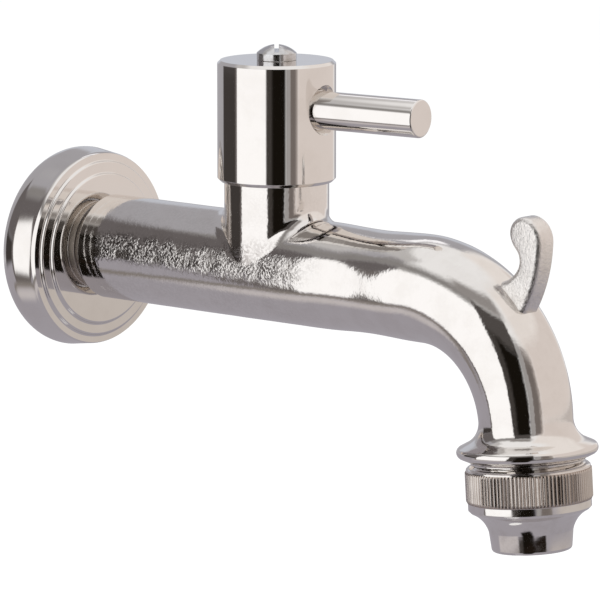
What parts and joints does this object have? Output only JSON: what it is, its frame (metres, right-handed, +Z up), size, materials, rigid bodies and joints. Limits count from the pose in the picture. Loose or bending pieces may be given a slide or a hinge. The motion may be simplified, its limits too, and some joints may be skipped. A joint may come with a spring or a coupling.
{
  "type": "wall bib tap",
  "caption": "Wall mounted bib tap with a quarter-turn lever on a round cap, a bent spout with a bucket hook and a knurled outlet nozzle.",
  "frame": {"origin": "inlet axis at the wall plane", "axes": "+X out from the wall along the supply tube, +Z up"},
  "size_m": [0.1659, 0.0484, 0.1112],
  "materials": {
    "nickel": "polished",
    "cast_nickel": "polished cast",
    "knurled_nickel": "knurled",
    "steel_screw": "bright",
    "raw_brass": "machined",
    "ring_rubber": "matte",
    "gasket_fibre": "matte",
    "spring_steel": "satin",
    "washer_plastic": "matte",
    "white_ceramic": "lapped",
    "insert_plastic": "matte"
  },
  "bodies": {
    "tap": {"tap_body": "cast_nickel", "headwork_body": "raw_brass", "headwork_gasket": "gasket_fibre", "seat_seal": "ring_rubber", "seal_support_ring": "washer_plastic", "fixed_disc": "white_ceramic", "thrust_washer": "washer_plastic"},
    "handle": {"handle_cap": "nickel", "handle_lever": "nickel", "handle_screw": "steel_screw", "spindle": "raw_brass", "spindle_o_ring_lower": "ring_rubber", "spindle_o_ring_upper": "ring_rubber", "spindle_circlip": "spring_steel", "moving_disc": "white_ceramic"},
    "rosette": {"wall_rosette": "nickel"},
    "outlet_insert": {"nozzle_washer": "ring_rubber", "outlet_screen": "spring_steel", "flow_straightener": "insert_plastic"},
    "nozzle": {"outlet_nozzle": "knurled_nickel"}
  },
  "joints": [
    {"name": "handle_turn", "type": "hinge", "parent": "tap", "child": "handle", "pos_m": [0.068, 0, 0.0386], "axis": [0, 0, 1], "range_deg": [0, 90]},
    {"name": "rosette_slide", "type": "slide", "parent": "tap", "child": "rosette", "axis": [1, 0, 0], "range_m": [0, 0.0021]},
    {"name": "nozzle_travel", "type": "slide", "parent": "tap", "child": "outlet_insert", "axis": [0.0698, 0, -0.9976], "range_m": [0, 0.00544]},
    {"name": "nozzle_turn", "type": "hinge", "parent": "outlet_insert", "child": "nozzle", "pos_m": [0.14509, 0, -0.0441], "axis": [0.0698, 0, -0.9976], "range_deg": [0, 1080]}
  ],
  "couplings": [
    {"joint": "nozzle_turn", "follows": "nozzle_travel", "rad_per_m": 3463.7}
  ]
}
